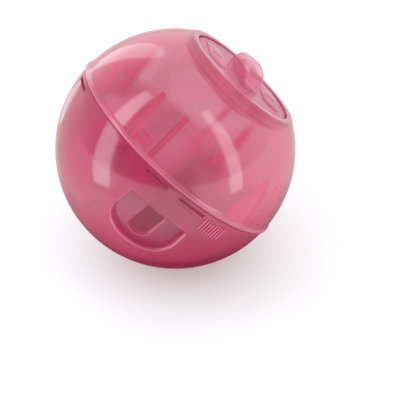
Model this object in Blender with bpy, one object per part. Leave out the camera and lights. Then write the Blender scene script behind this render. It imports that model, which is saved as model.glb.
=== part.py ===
"""Cat food dispensing ball, 76 mm across: four snap-together mouldings in clear pink plastic.

The upper shell carries the filling cap. The shutter ring clips up into the upper shell and hangs
behind the port of the lower shell, so turning the two halves against each other brings a blank
wall, a small window or a large window behind the port.

Metres, +Z up through the cap, origin at the middle of the ball, port facing -Y.
An angle round the ball is measured from the port, positive towards +X.
"""

import math

import bmesh
import bpy
from mathutils import Vector

# Ball and walls
BALL_RADIUS = 0.0380
SHELL_WALL = 0.0018
RING_WALL = 0.0015
SEAM_HEIGHT = 0.0006
FIT_GAP = 0.0003
RUNNING_GAP = 0.0004
OVERRUN = 0.0010
OPENING_REACH = 0.0060

# Bead round the upper shell's rim, just above the seam
BEAD_HEIGHT = 0.0021
BEAD_PROUD = 0.0005

# Flat left where the lower shell's moulding gate is trimmed
GATE_FLAT_RADIUS = 0.0040

# Port in the lower shell, measured on the ball's surface from the port's middle
PORT_LATITUDE = -26.5
PORT_HALF_WIDTH = 0.0116
PORT_TOP = 0.0081
PORT_SIDE_END = 0.0015
PORT_BOTTOM = -0.0088
PORT_ROUNDNESS = 2.3
PORT_LIP = 0.0011
PORT_LIP_DEPTH = 0.0010

# Windows in the shutter ring, measured the same way
WINDOW_LATITUDE = -25.0
WINDOW_TOP = 0.0083
WINDOW_BOTTOM = -0.0073
SMALL_HALF_WIDTH = 0.0039
SMALL_ANGLE = 0.0
LARGE_HALF_WIDTH = 0.0088
LARGE_ANGLE = 36.0

# Shutter ring
RING_BOTTOM = -0.0248
COLLAR_TOP = 0.0015
COLLAR_BOTTOM = -0.0050
COLLAR_WALL = 0.0024
GROOVE_DEPTH = 0.0011

# Snap beads of the lower shell, each under the slot that lets it leave the mould
SNAP_GROUP_COUNT = 4
SNAP_SPANS = ((-18.7, -5.5), (1.4, 16.7))
SLOT_TOP = -0.0005
SLOT_HEIGHT = 0.0010
SNAP_HEIGHT = 0.0013

# Grip ribs on the lower shell
RIB_GROUP_COUNT = 2
RIB_COUNT = 8
RIB_FIRST_ANGLE = 18.6
RIB_PITCH_ANGLE = 1.75
RIB_WIDTH = 0.0006
RIB_PROUD = 0.0004
RIB_TOP = -0.0012
RIB_BOTTOM = -0.0056

# Clips that hold the shutter ring: two fins with a tongue between them
CLIP_ANGLES = (-31.1, 51.1)
CLIP_PAIR_COUNT = 2
FIN_HALF_SPREAD = 9.1
FIN_THICKNESS = 0.0018
FIN_TOP = 0.0175
FIN_DEPTH = 0.0064
FIN_LEG_BOTTOM = -0.0020
SOCKET_WIDTH = 0.0060
SOCKET_TOP = -0.0003
TONGUE_HALF_ANGLE = 5.4
TONGUE_TOP = 0.0064
TONGUE_WALL = 0.0013
TONGUE_FRAME = 0.0012
CATCH_HEIGHT = 0.0024
CATCH_PROUD = 0.0013

# Filling mouth in the upper shell: a cup that hangs from the rim, with a ledge for its floor
MOUTH_BELOW_POLE = 0.0061
RIM_EDGE = 0.0006
RIM_WIDTH = 0.00235
CUP_WALL = 0.0017
LEDGE_WIDTH = 0.0020
LEDGE_DEPTH = 0.0026
LEDGE_THICKNESS = 0.0019

# Filling cap
CAP_PLATE = 0.0020
CAP_EDGE = 0.0005
SKIRT_DEPTH = 0.0040
SKIRT_WALL = 0.0014
LUG_ANGLE = -5.0
LUG_COUNT = 2
LUG_HALF_ANGLE = 16.0
LUG_HEIGHT = 0.0018
LUG_PROUD = 0.0020
NOTCH_PLAY = 0.0006

# Grip bar across the cap
BAR_ANGLE = 4.0
BAR_HALF_LENGTH = 0.0118
BAR_HALF_WIDTH = 0.0032
BAR_BELOW_POLE = 0.0002
BAR_ROUNDNESS = 2.6
BAR_WALL = 0.0015
BAR_EDGE = 0.0010

# Oval finger pads beside the bar, and the short slots at its feet, placed in shares of the
# cap's radius
PAD_OFFSET_SHARE = 0.607
PAD_HALF_LENGTH = 0.0085
PAD_HALF_WIDTH = 0.0034
PAD_PROUD = 0.0004
PAD_SLOT_LENGTH = 0.0036
SLOT_WIDTH = 0.0009
SLOT_DEPTH = 0.0009
FOOT_SLOT_LENGTH = 0.0031
FOOT_SLOT_SHARES = ((-0.339, -0.514), (-0.055, -0.907))

# Fineness of the round forms
SEGMENTS = 60
ARC_STEPS = 14
OUTLINE_STEPS = 16
BAR_STEPS = 14

# Sizes that follow from the ones above
INNER_RADIUS = BALL_RADIUS - SHELL_WALL
RING_RADIUS = INNER_RADIUS - RUNNING_GAP
RING_INNER_RADIUS = RING_RADIUS - RING_WALL
COLLAR_INNER = RING_RADIUS - COLLAR_WALL
UPPER_EDGE = SEAM_HEIGHT + FIT_GAP / 2
LOWER_EDGE = SEAM_HEIGHT - FIT_GAP / 2
SLOT_BOTTOM = SLOT_TOP - SLOT_HEIGHT
SNAP_BOTTOM = SLOT_BOTTOM - SNAP_HEIGHT
GROOVE_RADIUS = RING_RADIUS - GROOVE_DEPTH
FIN_INNER = INNER_RADIUS - FIN_DEPTH
FIN_LEG_OUTER = COLLAR_INNER - RUNNING_GAP
MOUTH_HEIGHT = BALL_RADIUS - MOUTH_BELOW_POLE
RIM_RADIUS = math.sqrt(BALL_RADIUS ** 2 - MOUTH_HEIGHT ** 2)
CAP_RADIUS = RIM_RADIUS - RIM_WIDTH
LEDGE_RADIUS = CAP_RADIUS - LEDGE_WIDTH
LEDGE_TOP = MOUTH_HEIGHT - LEDGE_DEPTH
LEDGE_BOTTOM = LEDGE_TOP - LEDGE_THICKNESS
SKIRT_RADIUS = LEDGE_RADIUS - RUNNING_GAP
SKIRT_BOTTOM = LEDGE_TOP - SKIRT_DEPTH
LUG_TOP = LEDGE_BOTTOM - FIT_GAP
CAP_UNDERSIDE = LEDGE_TOP + FIT_GAP
CAP_TOP = CAP_UNDERSIDE + CAP_PLATE
BAR_CREST = BALL_RADIUS - BAR_BELOW_POLE
PAD_OFFSET = PAD_OFFSET_SHARE * CAP_RADIUS


def clear_scene():
    for thing in list(bpy.data.objects):
        bpy.data.objects.remove(thing, do_unlink=True)


def clear_plastic(name, colour, roughness):
    material = bpy.data.materials.new(name)
    material.use_nodes = True
    shader = material.node_tree.nodes["Principled BSDF"]
    shader.inputs["Base Color"].default_value = colour
    shader.inputs["Roughness"].default_value = roughness
    shader.inputs["Metallic"].default_value = 0.0
    shader.inputs["Transmission Weight"].default_value = 0.6
    return material


def place(radius, angle, height):
    """A point given by its radius, its angle from the port in degrees, and its height."""
    turn = math.radians(angle)
    return Vector((radius * math.sin(turn), -radius * math.cos(turn), height))


def width_angle(width, radius):
    """The angle in degrees that a width takes up at a radius."""
    return math.degrees(width / radius)


def sphere_radius_at(height, sphere):
    return math.sqrt(sphere * sphere - height * height)


def sphere_arc(sphere, start_height, end_height, steps=ARC_STEPS):
    """Profile points (radius, height) along a sphere, evenly spaced."""
    start = math.asin(start_height / sphere)
    end = math.asin(end_height / sphere)
    points = []
    for step in range(steps + 1):
        rise = start + (end - start) * step / steps
        points.append((sphere * math.cos(rise), sphere * math.sin(rise)))
    return points


def make_object(name, bm, material=None):
    bmesh.ops.recalc_face_normals(bm, faces=bm.faces)
    mesh = bpy.data.meshes.new(name)
    bm.to_mesh(mesh)
    bm.free()
    if material:
        mesh.materials.append(material)
        mesh.shade_smooth()
        mesh.set_sharp_from_angle(angle=math.radians(35))
    made = bpy.data.objects.new(name, mesh)
    bpy.context.collection.objects.link(made)
    return made


def turned(profile, closed):
    """A body turned round the ball's axis. An open profile starts and ends on the axis."""
    bm = bmesh.new()
    rings = []
    for radius, height in profile:
        if radius == 0:
            rings.append([bm.verts.new(Vector((0, 0, height)))] * SEGMENTS)
            continue
        turns = (360 * segment / SEGMENTS for segment in range(SEGMENTS))
        rings.append([bm.verts.new(place(radius, turn, height)) for turn in turns])
    pairs = list(zip(rings, rings[1:]))
    if closed:
        pairs.append((rings[-1], rings[0]))
    for lower, upper in pairs:
        for i in range(SEGMENTS):
            j = (i + 1) % SEGMENTS
            corners = list(dict.fromkeys((lower[i], lower[j], upper[j], upper[i])))
            bm.faces.new(corners)
    return bm


def add_loft(bm, loops):
    """Skins loops of equal count, one after another, and closes both ends."""
    rings = [[bm.verts.new(point) for point in loop] for loop in loops]
    count = len(rings[0])
    for lower, upper in zip(rings, rings[1:]):
        for i in range(count):
            j = (i + 1) % count
            bm.faces.new((lower[i], lower[j], upper[j], upper[i]))
    bm.faces.new(rings[0])
    bm.faces.new(rings[-1])


def add_sector(bm, profile, start, end):
    """Part of a turned body, from one angle to another in degrees."""
    steps = max(1, round(abs(end - start) * SEGMENTS / 360))
    loops = []
    for step in range(steps + 1):
        turn = start + (end - start) * step / steps
        loops.append([place(radius, turn, height) for radius, height in profile])
    add_loft(bm, loops)


def add_plate(bm, profile, angle, thickness):
    """A flat plate standing in a plane through the axis, its profile in (radius, height)."""
    across = place(1, angle + 90, 0)
    loops = []
    for side in (-thickness / 2, thickness / 2):
        loops.append([place(radius, angle, height) + across * side for radius, height in profile])
    add_loft(bm, loops)


def add_opening(bm, outline, latitude, angle, levels):
    """A cutter for an opening in a ball-shaped wall. outline(grow) gives its points across and
    up from its middle, and each level gives a sphere and how far the outline grows there. Its
    ends are flat, so the last level reaches well past the curved wall."""
    rise = math.radians(latitude)
    out = place(math.cos(rise), angle, math.sin(rise))
    across = place(1, angle + 90, 0)
    up = out.cross(across)
    if up.z < 0:
        up.negate()
    loops = []
    for sphere, grow in levels:
        rays = (out * BALL_RADIUS + across * u + up * v for u, v in outline(grow))
        loops.append([ray.normalized() * sphere for ray in rays])
    add_loft(bm, loops)


def combine(target, bm, operation):
    """Cuts a tool out of a piece or joins it on, with the tool kept as a hidden guide."""
    tool = make_object(target.name + "_" + operation.lower() + "_guide", bm)
    tool.hide_render = True
    tool.display_type = "WIRE"
    modifier = target.modifiers.new(tool.name, "BOOLEAN")
    modifier.operation = operation
    modifier.solver = "EXACT"
    modifier.object = tool
    return tool


def repeated(count):
    return [360 * turn / count for turn in range(count)]


def clip_angles():
    return [angle + turn for turn in repeated(CLIP_PAIR_COUNT) for angle in CLIP_ANGLES]


def fin_angles():
    return [angle + side for angle in clip_angles() for side in (-FIN_HALF_SPREAD, FIN_HALF_SPREAD)]


# Lower shell: bowl, port with its rounded lip, snap beads and slots, grip ribs


def lower_shell_profile():
    flat_height = -sphere_radius_at(GATE_FLAT_RADIUS, BALL_RADIUS)
    outer = sphere_arc(BALL_RADIUS, flat_height, LOWER_EDGE)
    inner = sphere_arc(INNER_RADIUS, LOWER_EDGE, -INNER_RADIUS)
    return [(0, flat_height)] + outer + inner[:-1] + [(0, -INNER_RADIUS)]


def port_outline(grow):
    """A straight top edge, short straight sides and a full round below."""
    half = PORT_HALF_WIDTH + grow
    top = PORT_TOP + grow / 2
    fall = PORT_SIDE_END - PORT_BOTTOM + grow
    points = [(half, top), (-half, top)]
    for step in range(OUTLINE_STEPS + 1):
        turn = math.pi * step / OUTLINE_STEPS
        u = -math.cos(turn)
        u = math.copysign(abs(u) ** (2 / PORT_ROUNDNESS), u)
        v = math.sin(turn) ** (2 / PORT_ROUNDNESS)
        points.append((u * half, PORT_SIDE_END - v * fall))
    return points


def build_lower_shell(material):
    shell = make_object("lower_shell", turned(lower_shell_profile(), closed=False), material)

    fused = bmesh.new()
    snap = ((GROOVE_RADIUS + FIT_GAP, SLOT_BOTTOM), (INNER_RADIUS + SHELL_WALL / 2, SLOT_BOTTOM),
            (INNER_RADIUS + SHELL_WALL / 2, SNAP_BOTTOM), (GROOVE_RADIUS + FIT_GAP, SNAP_BOTTOM))
    for turn in repeated(SNAP_GROUP_COUNT):
        for start, end in SNAP_SPANS:
            add_sector(fused, snap, turn + start, turn + end)
    rib_outer = sphere_arc(BALL_RADIUS + RIB_PROUD, RIB_TOP, RIB_BOTTOM, steps=1)
    rib_inner = sphere_arc(BALL_RADIUS - SHELL_WALL / 2, RIB_BOTTOM, RIB_TOP, steps=1)
    for turn in repeated(RIB_GROUP_COUNT):
        for rib in range(RIB_COUNT):
            angle = turn + RIB_FIRST_ANGLE + rib * RIB_PITCH_ANGLE
            add_plate(fused, rib_outer + rib_inner, angle, RIB_WIDTH)
    combine(shell, fused, "UNION")

    cuts = bmesh.new()
    slot_inner = INNER_RADIUS - FIT_GAP
    slot_outer = BALL_RADIUS + OVERRUN
    slot = ((slot_inner, SLOT_TOP), (slot_outer, SLOT_TOP),
            (slot_outer, SLOT_BOTTOM), (slot_inner, SLOT_BOTTOM))
    for turn in repeated(SNAP_GROUP_COUNT):
        for start, end in SNAP_SPANS:
            add_sector(cuts, slot, turn + start, turn + end)
    levels = ((INNER_RADIUS - OVERRUN, 0), (BALL_RADIUS - PORT_LIP_DEPTH, 0),
              (BALL_RADIUS - PORT_LIP_DEPTH / 3, PORT_LIP / 3), (BALL_RADIUS, PORT_LIP),
              (BALL_RADIUS + OPENING_REACH, PORT_LIP + OVERRUN))
    add_opening(cuts, port_outline, PORT_LATITUDE, 0, levels)
    combine(shell, cuts, "DIFFERENCE")
    return shell


# Shutter ring: ball-shaped band with its windows, grooved collar, tongues and fin sockets


def shutter_ring_profile():
    band_outer = sphere_arc(RING_RADIUS, RING_BOTTOM, SNAP_BOTTOM - FIT_GAP, steps=8)
    groove_top = SLOT_BOTTOM + FIT_GAP
    groove = [(GROOVE_RADIUS, SNAP_BOTTOM - FIT_GAP), (GROOVE_RADIUS, groove_top)]
    collar_outer = sphere_arc(RING_RADIUS, groove_top, COLLAR_TOP, steps=1)
    collar_inner = [(COLLAR_INNER, COLLAR_TOP), (COLLAR_INNER, COLLAR_BOTTOM)]
    band_inner = sphere_arc(RING_INNER_RADIUS, COLLAR_BOTTOM, RING_BOTTOM, steps=8)
    return band_outer + groove + collar_outer + collar_inner + band_inner


def window_outline(half_width):
    """Straight top, sides that draw in a little, round below."""
    def outline(grow):
        half = half_width + grow
        radius = min(half, (WINDOW_TOP - WINDOW_BOTTOM) / 2)
        points = [(half, WINDOW_TOP), (-half, WINDOW_TOP)]
        for step in range(OUTLINE_STEPS + 1):
            turn = math.pi * step / OUTLINE_STEPS
            points.append((-half * math.cos(turn), WINDOW_BOTTOM + radius * (1 - math.sin(turn))))
        return points
    return outline


def build_shutter_ring(material):
    ring = make_object("shutter_ring", turned(shutter_ring_profile(), closed=True), material)

    fused = bmesh.new()
    tongue_outer = RING_RADIUS - FIT_GAP
    root = COLLAR_TOP - TONGUE_FRAME
    inner = sphere_arc(tongue_outer - TONGUE_WALL, TONGUE_TOP, root, steps=2)
    tongue = sphere_arc(tongue_outer, root, TONGUE_TOP, steps=2) + inner
    for angle in clip_angles():
        add_sector(fused, tongue, angle - TONGUE_HALF_ANGLE, angle + TONGUE_HALF_ANGLE)
    socket_outer = COLLAR_INNER + RING_WALL / 2
    socket = ((FIN_INNER - FIT_GAP, SOCKET_TOP), (socket_outer, SOCKET_TOP),
              (socket_outer, COLLAR_BOTTOM), (FIN_INNER - FIT_GAP, COLLAR_BOTTOM))
    half = width_angle(SOCKET_WIDTH / 2, COLLAR_INNER)
    for angle in fin_angles():
        add_sector(fused, socket, angle - half, angle + half)
    combine(ring, fused, "UNION")

    cuts = bmesh.new()
    levels = ((RING_INNER_RADIUS - OVERRUN, 0), (RING_RADIUS + OPENING_REACH, 0))
    add_opening(cuts, window_outline(SMALL_HALF_WIDTH), WINDOW_LATITUDE, SMALL_ANGLE, levels)
    add_opening(cuts, window_outline(LARGE_HALF_WIDTH), WINDOW_LATITUDE, LARGE_ANGLE, levels)
    frame = width_angle(TONGUE_FRAME, RING_RADIUS)
    catch_window = ((tongue_outer - TONGUE_WALL - OVERRUN, TONGUE_TOP - TONGUE_FRAME),
                    (tongue_outer + OVERRUN, TONGUE_TOP - TONGUE_FRAME),
                    (tongue_outer + OVERRUN, COLLAR_TOP),
                    (tongue_outer - TONGUE_WALL - OVERRUN, COLLAR_TOP))
    for angle in clip_angles():
        opened = TONGUE_HALF_ANGLE - frame
        add_sector(cuts, catch_window, angle - opened, angle + opened)
    key_inner = FIN_INNER - OVERRUN
    key_outer = FIN_LEG_OUTER + FIT_GAP
    key = ((key_inner, SOCKET_TOP + OVERRUN), (key_outer, SOCKET_TOP + OVERRUN),
           (key_outer, FIN_LEG_BOTTOM - FIT_GAP), (key_inner, FIN_LEG_BOTTOM - FIT_GAP))
    for angle in fin_angles():
        add_plate(cuts, key, angle, FIN_THICKNESS + 2 * FIT_GAP)
    combine(ring, cuts, "DIFFERENCE")
    return ring


# Upper shell: dome, rim bead, filling mouth, fins and catches of the clips


def upper_shell_profile():
    bead_top = UPPER_EDGE + BEAD_HEIGHT
    bead_radius = BALL_RADIUS + BEAD_PROUD
    bead = [(BALL_RADIUS, UPPER_EDGE), (bead_radius, UPPER_EDGE + BEAD_PROUD),
            (bead_radius, bead_top - 2 * BEAD_PROUD)]
    edge_height = MOUTH_HEIGHT - RIM_EDGE
    dome = sphere_arc(BALL_RADIUS, bead_top, edge_height)
    rim_radius = sphere_radius_at(edge_height, BALL_RADIUS) - RIM_EDGE
    recess = CAP_RADIUS + FIT_GAP
    cup = recess + CUP_WALL
    mouth = [(rim_radius, MOUTH_HEIGHT), (recess, MOUTH_HEIGHT), (recess, LEDGE_TOP),
             (LEDGE_RADIUS, LEDGE_TOP), (LEDGE_RADIUS, LEDGE_BOTTOM), (cup, LEDGE_BOTTOM)]
    inner = sphere_arc(INNER_RADIUS, sphere_radius_at(cup, INNER_RADIUS), UPPER_EDGE)
    return bead + dome + mouth + inner


def fin_profile():
    """Deep at the seam and running out into the dome. Its leg reaches down into the ring's socket."""
    rooted = INNER_RADIUS + SHELL_WALL / 2
    foot = COLLAR_TOP + FIT_GAP
    root = sphere_arc(rooted, foot, FIN_TOP, steps=6)
    tip = (sphere_radius_at(FIN_TOP, INNER_RADIUS), FIN_TOP)
    leg = [(FIN_INNER, FIN_LEG_BOTTOM), (FIN_LEG_OUTER, FIN_LEG_BOTTOM), (FIN_LEG_OUTER, foot)]
    return root + [tip] + leg


def build_upper_shell(material):
    shell = make_object("upper_shell", turned(upper_shell_profile(), closed=True), material)

    fused = bmesh.new()
    for angle in fin_angles():
        add_plate(fused, fin_profile(), angle, FIN_THICKNESS)
    rooted = INNER_RADIUS + SHELL_WALL / 2
    catch_top = TONGUE_TOP - TONGUE_FRAME - FIT_GAP
    catch_bottom = catch_top - CATCH_HEIGHT
    catch = ((INNER_RADIUS - CATCH_PROUD, catch_top - CATCH_PROUD / 2), (rooted, catch_top),
             (rooted, catch_bottom), (INNER_RADIUS - CATCH_PROUD / 2, catch_bottom))
    half = TONGUE_HALF_ANGLE - width_angle(TONGUE_FRAME + FIT_GAP, INNER_RADIUS - CATCH_PROUD)
    for angle in clip_angles():
        add_sector(fused, catch, angle - half, angle + half)
    combine(shell, fused, "UNION")

    cuts = bmesh.new()
    notch_inner = LEDGE_RADIUS - OVERRUN
    notch_outer = SKIRT_RADIUS + LUG_PROUD + FIT_GAP
    notch_top = LEDGE_TOP + OVERRUN
    notch_bottom = LEDGE_BOTTOM - OVERRUN
    notch = ((notch_inner, notch_top), (notch_outer, notch_top),
             (notch_outer, notch_bottom), (notch_inner, notch_bottom))
    half = LUG_HALF_ANGLE + width_angle(NOTCH_PLAY, notch_outer)
    for turn in repeated(LUG_COUNT):
        add_sector(cuts, notch, turn + LUG_ANGLE - half, turn + LUG_ANGLE + half)
    combine(shell, cuts, "DIFFERENCE")
    return shell


# Filling cap: disc and skirt, two lugs, hollow grip bar, oval finger pads


def fill_cap_profile():
    ceiling = CAP_TOP - CAP_PLATE
    skirt_inner = SKIRT_RADIUS - SKIRT_WALL
    return [(0, CAP_TOP), (CAP_RADIUS - CAP_EDGE, CAP_TOP), (CAP_RADIUS, CAP_TOP - CAP_EDGE),
            (CAP_RADIUS, CAP_UNDERSIDE), (SKIRT_RADIUS, CAP_UNDERSIDE), (SKIRT_RADIUS, SKIRT_BOTTOM),
            (skirt_inner, SKIRT_BOTTOM), (skirt_inner, ceiling), (0, ceiling)]


def bar_arch(half_length, base, crest):
    """The bar from the side: a broad arch with round shoulders, in (along, height)."""
    points = []
    for step in range(BAR_STEPS + 1):
        turn = math.pi * step / BAR_STEPS
        along = -math.cos(turn)
        along = math.copysign(abs(along) ** (2 / BAR_ROUNDNESS), along)
        rise = math.sin(turn) ** (2 / BAR_ROUNDNESS)
        points.append((along * half_length, base + rise * (crest - base)))
    return points


def add_bar(bm, half_length, half_width, base, crest):
    """Extrudes the arch across its width."""
    along = place(1, BAR_ANGLE, 0)
    across = place(1, BAR_ANGLE + 90, 0)
    outline = bar_arch(half_length, base, crest)
    loops = []
    for side in (-half_width, half_width):
        loops.append([along * s + across * side + Vector((0, 0, height)) for s, height in outline])
    add_loft(bm, loops)


def add_stadium(bm, centre, half_length, half_width, angle, low, high):
    """An upright block with round ends, its length along an angle."""
    along = place(1, angle, 0)
    across = place(1, angle + 90, 0)
    straight = half_length - half_width
    outline = []
    for end in (1, -1):
        for step in range(OUTLINE_STEPS // 2 + 1):
            turn = 2 * math.pi * step / OUTLINE_STEPS
            s = end * (straight + half_width * math.sin(turn))
            outline.append(centre + along * s - across * (end * half_width * math.cos(turn)))
    loops = [[point + Vector((0, 0, height)) for point in outline] for height in (low, high)]
    add_loft(bm, loops)


def build_fill_cap(material):
    cap = make_object("fill_cap", turned(fill_cap_profile(), closed=False), material)

    bar = bmesh.new()
    sunk = CAP_TOP - 3 * CAP_PLATE / 4
    add_bar(bar, BAR_HALF_LENGTH, BAR_HALF_WIDTH, sunk, BAR_CREST)
    guide = combine(cap, bar, "UNION")
    rounded = guide.modifiers.new("round_edges", "BEVEL")
    rounded.width = BAR_EDGE
    rounded.segments = 2
    rounded.limit_method = "ANGLE"
    rounded.angle_limit = math.radians(50)

    fused = bmesh.new()
    lug_inner = SKIRT_RADIUS - SKIRT_WALL / 2
    lug_outer = SKIRT_RADIUS + LUG_PROUD
    lug_bottom = LUG_TOP - LUG_HEIGHT
    lug = ((lug_inner, LUG_TOP), (lug_outer, LUG_TOP), (lug_outer, lug_bottom), (lug_inner, lug_bottom))
    for turn in repeated(LUG_COUNT):
        add_sector(fused, lug, turn + LUG_ANGLE - LUG_HALF_ANGLE, turn + LUG_ANGLE + LUG_HALF_ANGLE)
    pad_centres = [place(PAD_OFFSET, BAR_ANGLE + side, 0) for side in (-90, 90)]
    for centre in pad_centres:
        add_stadium(fused, centre, PAD_HALF_LENGTH, PAD_HALF_WIDTH, BAR_ANGLE, sunk, CAP_TOP + PAD_PROUD)
    combine(cap, fused, "UNION")

    cuts = bmesh.new()
    hollow_half_length = BAR_HALF_LENGTH - BAR_WALL
    hollow_half_width = BAR_HALF_WIDTH - BAR_WALL
    below = CAP_TOP - CAP_PLATE - OVERRUN
    add_bar(cuts, hollow_half_length, hollow_half_width, below, BAR_CREST - BAR_WALL)
    bottom = CAP_TOP - SLOT_DEPTH
    top = CAP_TOP + PAD_PROUD + OVERRUN
    for centre in pad_centres:
        across = BAR_ANGLE + 90
        add_stadium(cuts, centre, PAD_SLOT_LENGTH / 2, SLOT_WIDTH / 2, across, bottom, top)
    for side in (1, -1):
        for x, y in FOOT_SLOT_SHARES:
            centre = Vector((side * x, side * y, 0)) * CAP_RADIUS
            add_stadium(cuts, centre, FOOT_SLOT_LENGTH / 2, SLOT_WIDTH / 2, 90, bottom, top)
    combine(cap, cuts, "DIFFERENCE")
    return cap


clear_scene()
build_lower_shell(clear_plastic("lower_pink", (0.62, 0.16, 0.25, 1.0), 0.16))
build_shutter_ring(clear_plastic("shutter_pink", (0.55, 0.13, 0.22, 1.0), 0.22))
build_upper_shell(clear_plastic("upper_pink", (0.64, 0.17, 0.26, 1.0), 0.14))
build_fill_cap(clear_plastic("cap_pink", (0.62, 0.15, 0.24, 1.0), 0.16))
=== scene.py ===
import math

import bmesh
import bpy
from mathutils import Matrix, Vector


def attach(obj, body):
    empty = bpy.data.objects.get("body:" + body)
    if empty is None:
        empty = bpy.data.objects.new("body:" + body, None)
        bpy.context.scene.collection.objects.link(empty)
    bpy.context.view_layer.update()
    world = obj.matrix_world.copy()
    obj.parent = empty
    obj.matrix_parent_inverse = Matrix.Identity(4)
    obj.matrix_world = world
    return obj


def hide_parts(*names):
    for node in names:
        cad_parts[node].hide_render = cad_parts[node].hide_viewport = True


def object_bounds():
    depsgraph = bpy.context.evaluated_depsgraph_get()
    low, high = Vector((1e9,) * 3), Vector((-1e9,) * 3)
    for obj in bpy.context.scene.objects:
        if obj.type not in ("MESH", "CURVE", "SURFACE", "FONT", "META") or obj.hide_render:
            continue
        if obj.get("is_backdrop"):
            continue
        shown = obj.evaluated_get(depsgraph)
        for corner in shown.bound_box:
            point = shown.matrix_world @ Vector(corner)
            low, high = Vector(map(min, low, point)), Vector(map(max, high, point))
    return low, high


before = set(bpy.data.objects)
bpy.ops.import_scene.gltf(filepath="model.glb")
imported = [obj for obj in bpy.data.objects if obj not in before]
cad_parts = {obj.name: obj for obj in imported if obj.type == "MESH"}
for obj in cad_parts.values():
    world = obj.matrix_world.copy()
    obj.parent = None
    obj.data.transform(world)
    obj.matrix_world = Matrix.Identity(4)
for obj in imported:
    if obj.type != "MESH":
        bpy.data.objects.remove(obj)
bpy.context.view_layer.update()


# Lower shell: the lower half of the ball, a bowl moulded in clear pink plastic with a port in its
# side. The port's edge is rolled over, the rim carries slots with snap beads under them, and two
# rows of short grip ribs stand below the rim.

BALL_RADIUS = 0.0380
SHELL_WALL = 0.0018
SHELL_INSIDE = BALL_RADIUS - SHELL_WALL
LOWER_RIM = 0.00045
CLEARANCE = 0.0003
RUNNING_CLEARANCE = 0.0004
CUT_PAST = 0.0010
CUT_OUT = 0.0060

# How far an edge is rounded, from a keen one to a round one.
KEEN = 0.0001
CRISP = 0.0002
EASED = 0.0003
SOFT = 0.0004
ROUND = 0.0005

# How finely the mouldings are stepped: degrees to a step, and steps to a corner, to a lip and to
# a full turn. Then the angles from which an edge is bevelled, and from which it stays sharp.
STEP_ANGLE = 2.0
FINE_STEP_ANGLE = 1.5
CORNER_STEPS = 4
CORNER_SHARE = 0.45
LIP_STEPS = 6
TURNED_STEPS = 180
BEVEL_ANGLE = 38
SHARP_ANGLE = 34

GATE_FLAT = 0.0040
GATE_MARK = 0.0009
GATE_MARK_DEPTH = 0.00025
GATE_MARK_FLARE = 1.15

PORT_LATITUDE = -26.5
PORT_HALF_WIDTH = 0.0116
PORT_TOP = 0.0081
PORT_CORNER = 0.0012
PORT_SIDE_END = 0.0015
PORT_BOTTOM = -0.0088
PORT_ROUNDNESS = 2.3
PORT_ROUND_STEPS = 56
PORT_LIP = 0.0011
PORT_LIP_DEPTH = 0.0010

RING_RADIUS = SHELL_INSIDE - RUNNING_CLEARANCE
GROOVE_DEPTH = 0.0011
GROOVE_RADIUS = RING_RADIUS - GROOVE_DEPTH
SLOT_TOP = -0.0005
SLOT_BOTTOM = -0.0015
SNAP_BOTTOM = -0.0028
SNAP_SPANS = ((-18.7, -5.5), (1.4, 16.7))
SNAP_TURNS = (0, 90, 180, 270)
SNAP_HEAVY = 0.5
OFF_WALL = 0.0005

RIB_COUNT = 8
RIB_TURNS = (0, 180)
RIB_FIRST_ANGLE = 18.6
RIB_PITCH_ANGLE = 1.75
RIB_WIDTH = 0.0006
RIB_PROUD = 0.0004
RIB_EASE = 0.00018
RIB_TOP = -0.0012
RIB_BOTTOM = -0.0056

# The plastic's colour in depth, at cut edges and at eased edges, where the pale pink is partly the
# plastic's milkier edge and partly painted highlight, and what its faces let through.
DEEP_PINK = (0.98, 0.12, 0.36)
CUT_PINK = (0.98, 0.030, 0.22)
PALE_EDGE_AND_PAINTED_HIGHLIGHT = (0.90, 0.25, 0.40)
FACE_TINT = (0.98, 0.98, 0.98)
SHADE_TINT = (0.86, 0.90, 0.90)
LOWER_MIST = (0.82, 0.064, 0.215)
# The lower shell's cut faces are darker than the others', partly the deep crimson of its thick
# edges and partly painted shade in its slots.
LOWER_GLOW_AND_PAINTED_SHADE = (0.72, 0.038, 0.165)

# How much milky haze eased edges, heavy sections and faces seen edge on hold, and how unevenly
# it lies in the flow of the plastic. On eased edges and proud faces the extra haze is partly
# painted highlight.
EDGE_HAZE_AND_PAINTED_HIGHLIGHT = 0.36
HEAVY_HAZE = 0.45
RIM_HAZE = 0.25
RIM_POWER = 2.5
SCATTERED_HAZE = 0.3
FLOW_SHADE = 0.86
FLOW_CLOUD = (0.6, 1.5)

# A face's lie is 1 where it runs along the wall and 0 where it cuts across it. Each pair says
# between which two lies a face stops being a cut, becomes an eased edge, stops being one, and
# turns as cloudy as the wall.
CUT_FACES = (0.15, 0.45)
EDGE_FACES = (0.2, 0.5)
WALL_FACES = (0.78, 0.86)
CLOUDY_FACES = (0.7, 0.84)

# How far below the skin the inner faces lie, and how far above it a face is that stands proud.
BELOW_SKIN = (0.0016, 0.0011)
ABOVE_SKIN = (0.0001, 0.00035)

# How strongly the faces mirror, and how deep their waves, polish and frosting are.
SHEEN = 0.8
SHEEN_POWER = 4.0
OUTER_MIRROR = 0.1
INNER_MIRROR = 0.02
SMEAR_ROUGHNESS = 0.07
SPECKLE_ROUGHNESS = 0.02
WAVE_DEPTH = 0.00005
POLISH_DEPTH = 0.0000015
FROST_DEPTH = 0.00006
BLUR_IOR = 1.12


def in_ball(radius, angle, height):
    """A point by its distance from the ball's axis, its angle from the port and its height."""
    turn = math.radians(angle)
    return Vector((radius * math.sin(turn), -radius * math.cos(turn), height))


def along_wall(radius, low, high, step=STEP_ANGLE):
    """Profile points along a ball-shaped wall, about one to each step of an angle."""
    start, end = math.asin(low / radius), math.asin(high / radius)
    count = max(1, round(abs(math.degrees(end - start)) / step))
    turns = [start + (end - start) * i / count for i in range(count + 1)]
    return [(radius * math.cos(turn), radius * math.sin(turn)) for turn in turns]


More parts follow.
